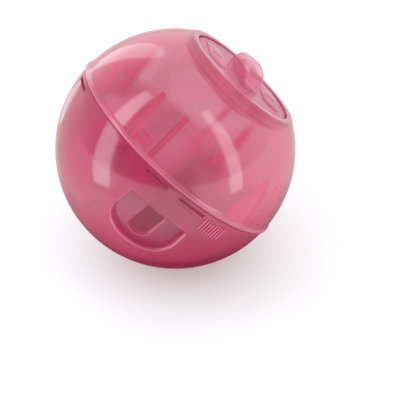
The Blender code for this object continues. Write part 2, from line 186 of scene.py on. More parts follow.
def with_eased_corners(profile):
    """Rounds each corner of a profile that carries a third number, the reach of its rounding."""
    eased = []
    for i, corner in enumerate(profile):
        if len(corner) == 2:
            eased.append(corner)
            continue
        tip = Vector(corner[:2])
        back = Vector(profile[i - 1][:2]) - tip
        on = Vector(profile[(i + 1) % len(profile)][:2]) - tip
        reach = min(corner[2], CORNER_SHARE * back.length, CORNER_SHARE * on.length)
        start, end = tip + back.normalized() * reach, tip + on.normalized() * reach
        for step in range(CORNER_STEPS + 1):
            t = step / CORNER_STEPS
            eased.append(tuple((1 - t) ** 2 * start + 2 * t * (1 - t) * tip + t * t * end))
    return eased


def turned_plastic(profile):
    """Turns a profile round the ball's axis. One that begins on the axis also ends on it."""
    bm = bmesh.new()
    rings = []
    turns = [360 * i / TURNED_STEPS for i in range(TURNED_STEPS)]
    for radius, height in with_eased_corners(profile):
        if radius == 0:
            rings.append([bm.verts.new((0, 0, height))] * TURNED_STEPS)
        else:
            rings.append([bm.verts.new(in_ball(radius, turn, height)) for turn in turns])
    pairs = list(zip(rings, rings[1:]))
    if profile[0][0] != 0:
        pairs.append((rings[-1], rings[0]))
    for low, high in pairs:
        for i in range(TURNED_STEPS):
            j = (i + 1) % TURNED_STEPS
            bm.faces.new(list(dict.fromkeys((low[i], low[j], high[j], high[i]))))
    return bm


def skin_over(loops):
    """A form skinned over a row of loops that have equal counts, and closed at both ends."""
    made = bmesh.new()
    rings = [[made.verts.new(point) for point in loop] for loop in loops]
    count = len(rings[0])
    for low, high in zip(rings, rings[1:]):
        for i in range(count):
            j = (i + 1) % count
            made.faces.new((low[i], low[j], high[j], high[i]))
    made.faces.new(rings[0])
    made.faces.new(rings[-1])
    bmesh.ops.recalc_face_normals(made, faces=made.faces)
    return made


def gather(made, bm, ease):
    """Eases the sharp edges of a form and adds it to those already gathered."""
    if ease:
        bevelled = math.radians(BEVEL_ANGLE)
        sharp = [edge for edge in made.edges if edge.calc_face_angle(0) > bevelled]
        bmesh.ops.bevel(made, geom=sharp, offset=ease, segments=2, profile=0.5, affect="EDGES")
    holder = bpy.data.meshes.new("holder")
    made.to_mesh(holder)
    made.free()
    bm.from_mesh(holder)
    bpy.data.meshes.remove(holder)


def curved_block(profile, start, end, bm, ease=0.0):
    """Adds a block that follows the ball round from one angle to another, its edges eased."""
    steps = max(1, round(abs(end - start) / STEP_ANGLE))
    turns = [start + (end - start) * i / steps for i in range(steps + 1)]
    gather(skin_over([
        [in_ball(radius, turn, height) for radius, height in profile] for turn in turns
    ]), bm, ease)


def standing_plate(profile, angle, thickness, bm, ease=0.0):
    """Adds a flat plate that stands in a plane through the axis, its edges eased."""
    across = in_ball(1, angle + 90, 0)
    gather(skin_over([
        [in_ball(radius, angle, height) + across * side for radius, height in profile]
        for side in (-thickness / 2, thickness / 2)
    ]), bm, ease)


def wall_opening(outline, latitude, angle, levels):
    """The form of an opening in a ball-shaped wall. outline(grow) gives its points across and up
    from its middle, and each level a distance from the ball's middle with how far it grows."""
    rise = math.radians(latitude)
    out = in_ball(math.cos(rise), angle, math.sin(rise))
    across = in_ball(1, angle + 90, 0)
    up = across.cross(out)
    if up.z < 0:
        up.negate()
    loops = []
    for distance, grow in levels:
        rays = (out * BALL_RADIUS + across * u + up * v for u, v in outline(grow))
        loops.append([ray.normalized() * distance for ray in rays])
    return skin_over(loops)


def eased_levels(inside, outside, lip, depth):
    """Levels for an opening whose edge is rolled over on the outer face of the wall, by lip
    across and depth in, and eased on the inner face."""
    levels = [(inside - CUT_OUT, EASED)]
    for step in range(CORNER_STEPS + 1):
        turn = math.pi / 2 * step / CORNER_STEPS
        levels.append((inside + EASED * (1 - math.cos(turn)), EASED * (1 - math.sin(turn))))
    for step in range(LIP_STEPS + 1):
        turn = math.pi / 2 * step / LIP_STEPS
        levels.append((outside - depth * (1 - math.sin(turn)), lip * (1 - math.cos(turn))))
    return levels + [(outside + CUT_OUT, lip + CUT_PAST)]


def piece_from(name, bm):
    """Makes a form into an object of its own."""
    bmesh.ops.recalc_face_normals(bm, faces=bm.faces)
    mesh = bpy.data.meshes.new(name)
    bm.to_mesh(mesh)
    bm.free()
    made = bpy.data.objects.new(name, mesh)
    bpy.context.collection.objects.link(made)
    return made


def worked(piece, tool_form, how):
    """Welds a form onto a piece (UNION) or takes it out of it (DIFFERENCE)."""
    tool = piece_from("tool", tool_form)
    change = piece.modifiers.new("work", "BOOLEAN")
    change.operation = how
    change.solver = "EXACT"
    change.object = tool
    seen = piece.evaluated_get(bpy.context.evaluated_depsgraph_get())
    made = bpy.data.meshes.new_from_object(seen)
    piece.modifiers.clear()
    before, piece.data = piece.data, made
    bpy.data.meshes.remove(before)
    bpy.data.objects.remove(tool, do_unlink=True)


def put_in_place(piece, node, body, slot, *plastics, heavy=None):
    """Smooths a finished moulding, marks the faces of its heavy sections, gives it its plastics,
    hides its CAD node and ties it to its body."""
    mark = piece.data.attributes.new("heavy", "FLOAT", "FACE")
    for face in piece.data.polygons:
        mark.data[face.index].value = heavy(face.center) if heavy else 0.0
    piece.data.materials.clear()
    for plastic in plastics:
        piece.data.materials.append(plastic)
    piece.data.shade_smooth()
    piece.data.set_sharp_from_angle(angle=math.radians(SHARP_ANGLE))
    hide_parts(node)
    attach(piece, body)


def clear_pink(name, mist, milkiness, gloss, cut_haze, blur=0.0, grain=0.0, density=0.0,
               stepped=0.3, middle=0.0, skin=BALL_RADIUS, glow=CUT_PINK, shine=1.0, proud=0.0,
               tint=FACE_TINT):
    """Clear tinted plastic. Its body takes light out with depth, so thick parts turn crimson. Its
    faces mirror a little and hold a thin milky haze, with flow marks, smears and mould grain.
    Faces that cut across the wall (cut_haze) and heavy sections, marked on the mesh, hold more of
    it and glow deep pink, and eased edges and what stands proud of the skin look paler, partly
    from the plastic's milkier edges and partly as painted highlight.
    blur is how much the wall blurs what stands far behind it, middle the height of the point that
    the wall faces away from, stepped the share of haze on faces that don't lie along the wall,
    skin the wall's outer radius, inside which it mirrors less, and shine the strength of its
    gloss. Light for shadows and scattering goes straight through, so that the inside stays lit.
    A piece with two plastics on it has no density, and each face that light crosses gives it
    its tint."""
    plastic = bpy.data.materials.new(name)
    plastic.use_nodes = True
    nodes, links = plastic.node_tree.nodes, plastic.node_tree.links
    shader, output = nodes["Principled BSDF"], nodes["Material Output"]
    place = nodes.new("ShaderNodeTexCoord")
    where = place.outputs["Object"]

    def marks(scale, detail, stretch=(1, 1, 1), warp=0.0):
        """Cloudy marks in the plastic, drawn out where stretch is below 1."""
        lay = nodes.new("ShaderNodeMapping")
        lay.inputs["Scale"].default_value = stretch
        links.new(where, lay.inputs["Vector"])
        noise = nodes.new("ShaderNodeTexNoise")
        noise.inputs["Scale"].default_value = scale
        noise.inputs["Detail"].default_value = detail
        noise.inputs["Distortion"].default_value = warp
        links.new(lay.outputs["Vector"], noise.inputs["Vector"])
        return noise.outputs["Fac"]

    def spread(source, low, high, start=0.35, end=0.65):
        """Goes from low to high as a source goes from start to end."""
        fit = nodes.new("ShaderNodeMapRange")
        fit.inputs["From Min"].default_value = start
        fit.inputs["From Max"].default_value = end
        fit.inputs["To Min"].default_value = low
        fit.inputs["To Max"].default_value = high
        links.new(source, fit.inputs["Value"])
        return fit.outputs["Result"]

    def worked_out(how, first, second):
        """A step of arithmetic on two numbers."""
        node = nodes.new("ShaderNodeMath")
        node.operation = how
        for socket, value in zip(node.inputs, (first, second)):
            if isinstance(value, (int, float)):
                socket.default_value = value
            else:
                links.new(value, socket)
        return node.outputs["Value"]

    def along(how, first, second=None):
        """A step of arithmetic on places and directions."""
        node = nodes.new("ShaderNodeVectorMath")
        node.operation = how
        for socket, value in zip(node.inputs, (first, second)):
            if isinstance(value, tuple):
                socket.default_value = value
            elif value is not None:
                links.new(value, socket)
        return node.outputs["Value" if how in ("DOT_PRODUCT", "LENGTH") else "Vector"]

    def tinted(share, first, second):
        """The colour that goes from one to another with a share."""
        node = nodes.new("ShaderNodeMixRGB")
        links.new(share, node.inputs["Fac"])
        for socket, colour in zip((node.inputs["Color1"], node.inputs["Color2"]), (first, second)):
            if isinstance(colour, tuple):
                socket.default_value = (*colour, 1)
            else:
                links.new(colour, socket)
        return node.outputs["Color"]

    def mixed(share, first, second):
        """The finish that goes from one to another with a share."""
        node = nodes.new("ShaderNodeMixShader")
        links.new(share, node.inputs["Fac"])
        links.new(first, node.inputs[1])
        links.new(second, node.inputs[2])
        return node.outputs["Shader"]

    flow = marks(scale=34, detail=4, stretch=(1, 1, 0.35), warp=1.4)
    smears = marks(scale=90, detail=5, stretch=(1, 0.3, 1), warp=0.6)
    speckle = marks(scale=1700, detail=2)

    outward = along("NORMALIZE", along("ADD", where, (0.0, 0.0, -middle)))
    lying = worked_out("ABSOLUTE", along("DOT_PRODUCT", outward, place.outputs["Normal"]), 0)
    cut = spread(lying, 1, 0, *CUT_FACES)
    # Painted highlight: eased edges, and faces that stand proud of the skin, are marked to turn
    # paler, partly for the plastic's milkier edges.
    eased = worked_out("MULTIPLY", spread(lying, 1, 0, *WALL_FACES),
                       spread(lying, 0, 1, *EDGE_FACES))
    from_middle = along("LENGTH", where)
    shallow = spread(from_middle, 0, 1, *(skin - below for below in BELOW_SKIN))
    eased = worked_out("MULTIPLY", eased, shallow)
    if proud:
        raised_highlight = spread(from_middle, 0, proud, *(skin + above for above in ABOVE_SKIN))
        eased = worked_out("MAXIMUM", eased, raised_highlight)

    heavy = nodes.new("ShaderNodeAttribute")
    heavy.attribute_name = "heavy"
    heavy = heavy.outputs["Fac"]

    body = tinted(flow, mist, tuple(c * FLOW_SHADE for c in mist))
    body = tinted(worked_out("MAXIMUM", cut, heavy), body, glow)
    # Paler pink on eased and proud faces: partly painted highlight.
    body = tinted(eased, body, PALE_EDGE_AND_PAINTED_HIGHLIGHT)
    links.new(body, shader.inputs["Base Color"])
    shader.inputs["Roughness"].default_value = 0.5
    shader.inputs["Specular IOR Level"].default_value = 0.0

    waves = nodes.new("ShaderNodeBump")
    waves.inputs["Distance"].default_value = WAVE_DEPTH
    links.new(marks(scale=70, detail=2), waves.inputs["Height"])
    fine = nodes.new("ShaderNodeBump")
    fine.inputs["Distance"].default_value = POLISH_DEPTH + grain * FROST_DEPTH
    links.new(speckle, fine.inputs["Height"])
    links.new(waves.outputs["Normal"], fine.inputs["Normal"])
    links.new(fine.outputs["Normal"], shader.inputs["Normal"])

    clear = nodes.new("ShaderNodeBsdfTransparent")
    clear.inputs["Color"].default_value = (*(SHADE_TINT if blur else tint), 1)
    passing = clear.outputs["BSDF"]
    rays = nodes.new("ShaderNodeLightPath")
    scattered = rays.outputs["Is Diffuse Ray"]
    if blur:
        blurred = nodes.new("ShaderNodeBsdfRefraction")
        blurred.inputs["Color"].default_value = (*FACE_TINT, 1)
        blurred.inputs["Roughness"].default_value = blur
        blurred.inputs["IOR"].default_value = BLUR_IOR
        straight = worked_out("MAXIMUM", rays.outputs["Is Shadow Ray"], scattered)
        passing = mixed(straight, blurred.outputs["BSDF"], passing)

    edge_on = nodes.new("ShaderNodeLayerWeight")
    edge_on.inputs["Blend"].default_value = 0.5
    edge_on = edge_on.outputs["Facing"]
    cloud = spread(flow, *(milkiness * share for share in FLOW_CLOUD))
    haze = worked_out("MULTIPLY", worked_out("POWER", edge_on, RIM_POWER), RIM_HAZE)
    for source, amount in (
        (cloud, spread(lying, stepped, 1, *CLOUDY_FACES)),
        (cut, cut_haze), (heavy, HEAVY_HAZE), (eased, EDGE_HAZE_AND_PAINTED_HIGHLIGHT),
    ):
        haze = worked_out("ADD", haze, worked_out("MULTIPLY", source, amount))
    haze = worked_out("MULTIPLY", haze, spread(scattered, 1.0, SCATTERED_HAZE, start=0, end=1))
    milky = mixed(haze, passing, shader.outputs["BSDF"])

    mirror = nodes.new("ShaderNodeBsdfGlossy")
    mirror.inputs["Color"].default_value = (1, 1, 1, 1)
    rough = worked_out("ADD", spread(smears, gloss, gloss + SMEAR_ROUGHNESS),
                       spread(speckle, 0, SPECKLE_ROUGHNESS + grain))
    links.new(rough, mirror.inputs["Roughness"])
    links.new(fine.outputs["Normal"], mirror.inputs["Normal"])
    sheen = worked_out("MULTIPLY", worked_out("POWER", edge_on, SHEEN_POWER), SHEEN * shine)
    by_skin = spread(shallow, INNER_MIRROR, OUTER_MIRROR * shine, start=0, end=1)
    sheen = worked_out("ADD", sheen, by_skin)
    faces = mixed(sheen, milky, mirror.outputs["BSDF"])
    links.new(faces, output.inputs["Surface"])

    if density:
        depth = nodes.new("ShaderNodeVolumeAbsorption")
        depth.inputs["Color"].default_value = (*DEEP_PINK, 1)
        depth.inputs["Density"].default_value = density
        links.new(depth.outputs["Volume"], output.inputs["Volume"])
    return plastic


def port_outline(grow):
    """A straight top edge, short straight sides and a full round below."""
    half, top = PORT_HALF_WIDTH + grow, PORT_TOP + grow / 2
    fall = PORT_SIDE_END - PORT_BOTTOM + grow
    points = []
    for side in (1, -1):
        for step in range(CORNER_STEPS + 1):
            turn = math.pi / 2 * (step if side > 0 else CORNER_STEPS - step) / CORNER_STEPS
            u = half - PORT_CORNER + PORT_CORNER * math.cos(turn)
            v = top - PORT_CORNER + PORT_CORNER * math.sin(turn)
            points.append((side * u, v))
    for step in range(PORT_ROUND_STEPS + 1):
        turn = math.pi * step / PORT_ROUND_STEPS
        u = -math.cos(turn)
        u = math.copysign(abs(u) ** (2 / PORT_ROUNDNESS), u)
        points.append((u * half, PORT_SIDE_END - math.sin(turn) ** (2 / PORT_ROUNDNESS) * fall))
    return points


pole = -math.sqrt(BALL_RADIUS ** 2 - GATE_FLAT ** 2)
outer_wall = along_wall(BALL_RADIUS, pole, LOWER_RIM)
inner_wall = along_wall(SHELL_INSIDE, LOWER_RIM, -SHELL_INSIDE)
bowl = [(0, pole + GATE_MARK_DEPTH), (GATE_MARK, pole + GATE_MARK_DEPTH),
        (GATE_MARK * GATE_MARK_FLARE, pole, KEEN), (*outer_wall[0], SOFT)]
bowl += outer_wall[1:-1] + [(*outer_wall[-1], EASED)]
bowl += [(*inner_wall[0], CRISP)] + inner_wall[1:-1] + [(0, -SHELL_INSIDE)]
lower_shell = piece_from("lower_shell_moulding", turned_plastic(bowl))

welded = bmesh.new()
rooted = SHELL_INSIDE + SHELL_WALL / 2
snap = ((GROOVE_RADIUS + CLEARANCE, SLOT_BOTTOM), (rooted, SLOT_BOTTOM),
        (rooted, SNAP_BOTTOM), (GROOVE_RADIUS + CLEARANCE, SNAP_BOTTOM))
for turn in SNAP_TURNS:
    for start, end in SNAP_SPANS:
        curved_block(snap, turn + start, turn + end, welded, CRISP)
rib = along_wall(BALL_RADIUS + RIB_PROUD, RIB_TOP, RIB_BOTTOM, FINE_STEP_ANGLE)
rib += along_wall(BALL_RADIUS - SHELL_WALL / 2, RIB_BOTTOM, RIB_TOP, FINE_STEP_ANGLE)
for turn in RIB_TURNS:
    for place in range(RIB_COUNT):
        angle = turn + RIB_FIRST_ANGLE + place * RIB_PITCH_ANGLE
        standing_plate(rib, angle, RIB_WIDTH, welded, RIB_EASE)
worked(lower_shell, welded, "UNION")

slots = bmesh.new()
slot = ((SHELL_INSIDE - CLEARANCE, SLOT_TOP), (BALL_RADIUS + CUT_PAST, SLOT_TOP),
        (BALL_RADIUS + CUT_PAST, SLOT_BOTTOM), (SHELL_INSIDE - CLEARANCE, SLOT_BOTTOM))
for turn in SNAP_TURNS:
    for start, end in SNAP_SPANS:
        curved_block(slot, turn + start, turn + end, slots)
worked(lower_shell, slots, "DIFFERENCE")
port_levels = eased_levels(SHELL_INSIDE, BALL_RADIUS, PORT_LIP, PORT_LIP_DEPTH)
worked(lower_shell, wall_opening(port_outline, PORT_LATITUDE, 0, port_levels), "DIFFERENCE")


def heavy_in_lower(middle):
    """The snap beads, which stand in from the wall."""
    return SNAP_HEAVY if middle.length < SHELL_INSIDE - OFF_WALL else 0.0


lower_pink = clear_pink("clear_pink_lower", mist=LOWER_MIST, milkiness=0.25, gloss=0.07,
                        cut_haze=0.44, blur=0.27, density=185.0, glow=LOWER_GLOW_AND_PAINTED_SHADE, proud=0.8)
put_in_place(lower_shell, "lower_shell", "lower_half", "lower_pink", lower_pink,
             heavy=heavy_in_lower)


# Shutter ring: a separate clear pink band that hangs behind the port and turns with the upper
# half. It has a small and a large window, a grooved collar that the lower shell's beads snap
# into, and tongues and sockets that clip onto the upper shell.

RING_WALL = 0.0015
RING_INSIDE = RING_RADIUS - RING_WALL
RING_BOTTOM = -0.0248
COLLAR_TOP = 0.0015
COLLAR_BOTTOM = -0.0050
COLLAR_DEPTH = 0.0024
COLLAR_INSIDE = RING_RADIUS - COLLAR_DEPTH
OVER_COLLAR = 0.0002
WITHIN_COLLAR = 0.0004

WINDOW_LATITUDE = -25.0
WINDOW_TOP = 0.0083
WINDOW_BOTTOM = -0.0073
WINDOWS = ((0.0039, 0.0), (0.0088, 36.0))
ARCH_STEPS = 40

CLIP_ANGLES = (-31.1, 51.1, 148.9, 231.1)
FIN_HALF_SPREAD = 9.1
FIN_THICKNESS = 0.0018
FIN_DEPTH = 0.0064
FIN_INSIDE = SHELL_INSIDE - FIN_DEPTH
FIN_LEG_OUTSIDE = COLLAR_INSIDE - RUNNING_CLEARANCE
FIN_LEG_BOTTOM = -0.0020
SOCKET_WIDTH = 0.0060
SOCKET_TOP = -0.0003
SOCKET_HEAVY = 0.4
TONGUE_HALF_ANGLE = 5.4
TONGUE_TOP = 0.0064
TONGUE_WALL = 0.0013
TONGUE_FRAME = 0.0012
TONGUE_HEAVY = 1.0

# The shutter's mist is darker than the shells', partly a deeper tint and partly painted shade for
# the ring lying inside the ball.
SHUTTER_MIST_AND_PAINTED_SHADE = (0.66, 0.062, 0.195)
SHUTTER_GLOW = (0.92, 0.065, 0.25)


def angle_of(width, radius):
    """The angle that a width takes up at a radius."""
    return math.degrees(width / radius)


def window_outline(half_width):
    """A straight top, and sides that round together below."""
    def outline(grow):
        half = half_width + grow
        radius = min(half, (WINDOW_TOP - WINDOW_BOTTOM) / 2)
        points = [(half, WINDOW_TOP + grow), (-half, WINDOW_TOP + grow)]
        for step in range(ARCH_STEPS + 1):
            turn = math.pi * step / ARCH_STEPS
            v = WINDOW_BOTTOM - grow + (radius + grow) * (1 - math.sin(turn))
            points.append((-half * math.cos(turn), v))
        return points
    return outline


band_out = along_wall(RING_RADIUS, RING_BOTTOM, SNAP_BOTTOM - CLEARANCE)
groove_top = SLOT_BOTTOM + CLEARANCE
band_in = along_wall(RING_INSIDE, COLLAR_BOTTOM, RING_BOTTOM)
collar_out = along_wall(RING_RADIUS, groove_top, COLLAR_TOP)
band = [(*band_out[0], EASED)] + band_out[1:-1] + [(*band_out[-1], CRISP)]
band += [(GROOVE_RADIUS, SNAP_BOTTOM - CLEARANCE, CRISP), (GROOVE_RADIUS, groove_top, CRISP)]
band += [(*collar_out[0], CRISP)] + collar_out[1:-1] + [(*collar_out[-1], EASED)]
band += [(COLLAR_INSIDE, COLLAR_TOP, EASED), (COLLAR_INSIDE, COLLAR_BOTTOM, SOFT)]
band += [(*band_in[0], ROUND)] + band_in[1:-1] + [(*band_in[-1], EASED)]
shutter_ring = piece_from("shutter_ring_moulding", turned_plastic(band))

welded = bmesh.new()
tongue_out = RING_RADIUS - CLEARANCE
tongue_in = tongue_out - TONGUE_WALL
tongue_root = COLLAR_TOP - TONGUE_FRAME
tongue = along_wall(tongue_out, tongue_root, TONGUE_TOP, FINE_STEP_ANGLE)
tongue += along_wall(tongue_in, TONGUE_TOP, tongue_root, FINE_STEP_ANGLE)
for angle in CLIP_ANGLES:
    curved_block(tongue, angle - TONGUE_HALF_ANGLE, angle + TONGUE_HALF_ANGLE, welded, CRISP)
socket_out = COLLAR_INSIDE + RING_WALL / 2
socket_in = FIN_INSIDE - CLEARANCE
socket = ((socket_in, SOCKET_TOP), (socket_out, SOCKET_TOP),
          (socket_out, COLLAR_BOTTOM), (socket_in, COLLAR_BOTTOM))
socket_half = angle_of(SOCKET_WIDTH / 2, COLLAR_INSIDE)
fin_angles = [clip + side for clip in CLIP_ANGLES for side in (-FIN_HALF_SPREAD, FIN_HALF_SPREAD)]
for angle in fin_angles:
    curved_block(socket, angle - socket_half, angle + socket_half, welded, EASED)
worked(shutter_ring, welded, "UNION")

keys = bmesh.new()
frame_angle = TONGUE_HALF_ANGLE - angle_of(TONGUE_FRAME, RING_RADIUS)
eye = ((tongue_in - CUT_PAST, TONGUE_TOP - TONGUE_FRAME),
       (tongue_out + CUT_PAST, TONGUE_TOP - TONGUE_FRAME),
       (tongue_out + CUT_PAST, COLLAR_TOP), (tongue_in - CUT_PAST, COLLAR_TOP))
for angle in CLIP_ANGLES:
    curved_block(eye, angle - frame_angle, angle + frame_angle, keys)
key_in, key_out = FIN_INSIDE - CUT_PAST, FIN_LEG_OUTSIDE + CLEARANCE
key = ((key_in, SOCKET_TOP + CUT_PAST), (key_out, SOCKET_TOP + CUT_PAST),
       (key_out, FIN_LEG_BOTTOM - CLEARANCE), (key_in, FIN_LEG_BOTTOM - CLEARANCE))
for angle in fin_angles:
    standing_plate(key, angle, FIN_THICKNESS + 2 * CLEARANCE, keys)
worked(shutter_ring, keys, "DIFFERENCE")
window_levels = eased_levels(RING_INSIDE, RING_RADIUS, EASED, EASED)
for half_width, angle in WINDOWS:
    opened = wall_opening(window_outline(half_width), WINDOW_LATITUDE, angle, window_levels)
    worked(shutter_ring, opened, "DIFFERENCE")


def heavy_in_ring(middle):
    """The tongues, which stand above the collar, and the sockets, which stand in from it."""
    if middle.z > COLLAR_TOP + OVER_COLLAR:
        return TONGUE_HEAVY
    return SOCKET_HEAVY if middle.length < COLLAR_INSIDE - WITHIN_COLLAR else 0.0


shutter_pink = clear_pink("clear_pink_shutter", mist=SHUTTER_MIST_AND_PAINTED_SHADE, milkiness=0.20, gloss=0.04,
                          cut_haze=0.4, density=120.0, skin=RING_RADIUS, glow=SHUTTER_GLOW)
put_in_place(shutter_ring, "shutter_ring", "upper_half", "shutter_pink", shutter_pink,
             heavy=heavy_in_ring)


# Upper shell: the upper half of the ball in the same clear pink, with a raised bead round its rim
# and the filling mouth at its pole. Pairs of fins run down inside it, and their legs key into the
# shutter ring with a catch wedge between them.

UPPER_RIM = 0.00075
BEAD_HEIGHT = 0.0021
BEAD_PROUD = 0.0005
FIN_TOP = 0.0175
FIN_EASE = 0.00025
FIN_HEAVY = 1.0
CATCH_HEIGHT = 0.0024
CATCH_PROUD = 0.0013
CATCH_EASE = 0.00015

MOUTH_HEIGHT = 0.0319
MOUTH_EASE = 0.0006
CUP_WALL = 0.0017
CAP_RADIUS = 0.0183
LEDGE_RADIUS = 0.0163
LEDGE_TOP = 0.0293
LEDGE_BOTTOM = 0.0274
SKIRT_RADIUS = LEDGE_RADIUS - RUNNING_CLEARANCE
LUG_PROUD = 0.0020
LUG_HALF_ANGLE = 16.0
LUG_TURNS = (-5, 175)
NOTCH_ROOM = 0.0006

UPPER_MIST = (0.98, 0.200, 0.350)

bead_top = UPPER_RIM + BEAD_HEIGHT
bead_out = BALL_RADIUS + BEAD_PROUD
recess = CAP_RADIUS + CLEARANCE
cup_outside = recess + CUP_WALL
cup_root = math.sqrt(SHELL_INSIDE ** 2 - cup_outside ** 2)
dome_out = along_wall(BALL_RADIUS, bead_top, MOUTH_HEIGHT - MOUTH_EASE)
dome_in = along_wall(SHELL_INSIDE, cup_root, UPPER_RIM)
dome = [(BALL_RADIUS, UPPER_RIM, KEEN), (bead_out, UPPER_RIM + BEAD_PROUD, SOFT),
        (bead_out, bead_top - 2 * BEAD_PROUD, SOFT), (*dome_out[0], SOFT)]
dome += dome_out[1:]
dome += [(dome_out[-1][0] - MOUTH_EASE, MOUTH_HEIGHT, ROUND), (recess, MOUTH_HEIGHT, EASED),
         (recess, LEDGE_TOP, CRISP), (LEDGE_RADIUS, LEDGE_TOP, EASED),
         (LEDGE_RADIUS, LEDGE_BOTTOM, EASED), (cup_outside, LEDGE_BOTTOM, ROUND)]
dome += [(*dome_in[0], EASED)] + dome_in[1:-1] + [(*dome_in[-1], CRISP)]
upper_shell = piece_from("upper_shell_moulding", turned_plastic(dome))

welded = bmesh.new()
foot = COLLAR_TOP + CLEARANCE
fin = along_wall(rooted, foot, FIN_TOP)
fin += [(math.sqrt(SHELL_INSIDE ** 2 - FIN_TOP ** 2), FIN_TOP), (FIN_INSIDE, FIN_LEG_BOTTOM),
        (FIN_LEG_OUTSIDE, FIN_LEG_BOTTOM), (FIN_LEG_OUTSIDE, foot)]
for angle in fin_angles:
    standing_plate(fin, angle, FIN_THICKNESS, welded, FIN_EASE)
catch_top = TONGUE_TOP - TONGUE_FRAME - CLEARANCE
catch_low = catch_top - CATCH_HEIGHT
catch = ((SHELL_INSIDE - CATCH_PROUD, catch_top - CATCH_PROUD / 2), (rooted, catch_top),
         (rooted, catch_low), (SHELL_INSIDE - CATCH_PROUD / 2, catch_low))
catch_half = TONGUE_HALF_ANGLE - angle_of(TONGUE_FRAME + CLEARANCE, SHELL_INSIDE - CATCH_PROUD)
for angle in CLIP_ANGLES:
    curved_block(catch, angle - catch_half, angle + catch_half, welded, CATCH_EASE)
worked(upper_shell, welded, "UNION")

notches = bmesh.new()
notch_in, notch_out = LEDGE_RADIUS - CUT_PAST, SKIRT_RADIUS + LUG_PROUD + CLEARANCE
notch = ((notch_in, LEDGE_TOP + CUT_PAST), (notch_out, LEDGE_TOP + CUT_PAST),
         (notch_out, LEDGE_BOTTOM - CUT_PAST), (notch_in, LEDGE_BOTTOM - CUT_PAST))
notch_half = LUG_HALF_ANGLE + angle_of(NOTCH_ROOM, notch_out)
for turn in LUG_TURNS:
    curved_block(notch, turn - notch_half, turn + notch_half, notches)
worked(upper_shell, notches, "DIFFERENCE")


def heavy_in_upper(middle):
    """The fins and catches, which stand in from the wall."""
    inside = middle.z < FIN_TOP and middle.length < SHELL_INSIDE - OFF_WALL
    return FIN_HEAVY if inside else 0.0


upper_pink = clear_pink("clear_pink_upper", mist=UPPER_MIST, milkiness=0.26, gloss=0.07,
                        cut_haze=0.8, blur=0.27, density=130.0, proud=0.5)
put_in_place(upper_shell, "upper_shell", "upper_half", "upper_pink", upper_pink,
             heavy=heavy_in_upper)


# Filling cap: a round cap that sits in the mouth on a ledge and is held by two lugs under it. A
# hollow grip bar arches across it, with an oval finger pad in a frosted finish on each side and
# short slots at the bar's feet.

CAP_PLATE = 0.0020
CAP_UNDERSIDE = LEDGE_TOP + CLEARANCE
CAP_TOP = CAP_UNDERSIDE + CAP_PLATE
CAP_EDGE = 0.0005
SKIRT_WALL = 0.0014
SKIRT_BOTTOM = 0.0253
LUG_TOP = LEDGE_BOTTOM - CLEARANCE
LUG_HEIGHT = 0.0018

BAR_ANGLE = 4.0
BAR_HALF_LENGTH = 0.0118
BAR_HALF_WIDTH = 0.0032
BAR_CREST = 0.0378
BAR_ROUNDNESS = 2.6
BAR_WALL = 0.0015
BAR_EDGE = 0.0010

PAD_OFFSET = 0.0111
PAD_HALF_LENGTH = 0.0085
PAD_HALF_WIDTH = 0.0034
PAD_PROUD = 0.0004
PAD_FACING = 0.9
PAD_SLOT = 0.0036
SLOT_WIDTH = 0.0009
SLOT_DEPTH = 0.0009
FOOT_SLOT = 0.0031
FOOT_SLOTS = ((-0.0062, -0.0094), (-0.0010, -0.0166))
OVAL_STEPS = 18

CAP_MIST = (0.84, 0.270, 0.40)
CAP_GLOW = (0.90, 0.10, 0.27)
CAP_TINT = (0.975, 0.865, 0.905)
CAP_MIDDLE = -0.1
PAD_MIST = (0.78, 0.23, 0.34)


def arched_bar(half_length, half_width, base, crest, ease):
    """The grip bar: a broad arch with round shoulders, carried across its width."""
    along, across = in_ball(1, BAR_ANGLE, 0), in_ball(1, BAR_ANGLE + 90, 0)
    arch = []
    for step in range(ARCH_STEPS + 1):
        turn = math.pi * step / ARCH_STEPS
        s = -math.cos(turn)
        s = math.copysign(abs(s) ** (2 / BAR_ROUNDNESS), s) * half_length
        arch.append((s, base + math.sin(turn) ** (2 / BAR_ROUNDNESS) * (crest - base)))
    rounding = []
    for step in range(LIP_STEPS + 1):
        turn = math.pi / 2 * step / LIP_STEPS
        rounding.append((-half_width + ease * (1 - math.cos(turn)), ease * (1 - math.sin(turn))))
    rounding += [(-x, drop) for x, drop in reversed(rounding)]
    loops = []
    for x, drop in rounding:
        length_share = (half_length - drop) / half_length
        height_share = (crest - base - drop) / (crest - base)
        loops.append([
            along * (s * length_share) + across * x
            + Vector((0, 0, base + (height - base) * height_share)) for s, height in arch
        ])
    return skin_over(loops)


def oval_block(centre, half_length, half_width, angle, low, high, bm, ease=0.0):
    """Adds an upright block with round ends, its length along an angle, its edges eased."""
    along, across = in_ball(1, angle, 0), in_ball(1, angle + 90, 0)
    outline = []
    for end in (1, -1):
        for step in range(OVAL_STEPS + 1):
            turn = math.pi * step / OVAL_STEPS
            s = end * (half_length - half_width + half_width * math.sin(turn))
            outline.append(centre + along * s - across * (end * half_width * math.cos(turn)))
    gather(skin_over([
        [point + Vector((0, 0, height)) for point in outline] for height in (low, high)
    ]), bm, ease)


skirt_in = SKIRT_RADIUS - SKIRT_WALL
disc = [(0, CAP_TOP)]
disc += [(CAP_RADIUS * share, CAP_TOP) for share in (0.2, 0.4, 0.6, 0.8)]
disc += [(CAP_RADIUS - CAP_EDGE, CAP_TOP, SOFT), (CAP_RADIUS, CAP_TOP - CAP_EDGE, SOFT),
         (CAP_RADIUS, CAP_UNDERSIDE, CRISP), (SKIRT_RADIUS, CAP_UNDERSIDE, CRISP),
         (SKIRT_RADIUS, SKIRT_BOTTOM, EASED), (skirt_in, SKIRT_BOTTOM, EASED),
         (skirt_in, CAP_UNDERSIDE, ROUND), (0, CAP_UNDERSIDE)]
fill_cap = piece_from("fill_cap_moulding", turned_plastic(disc))

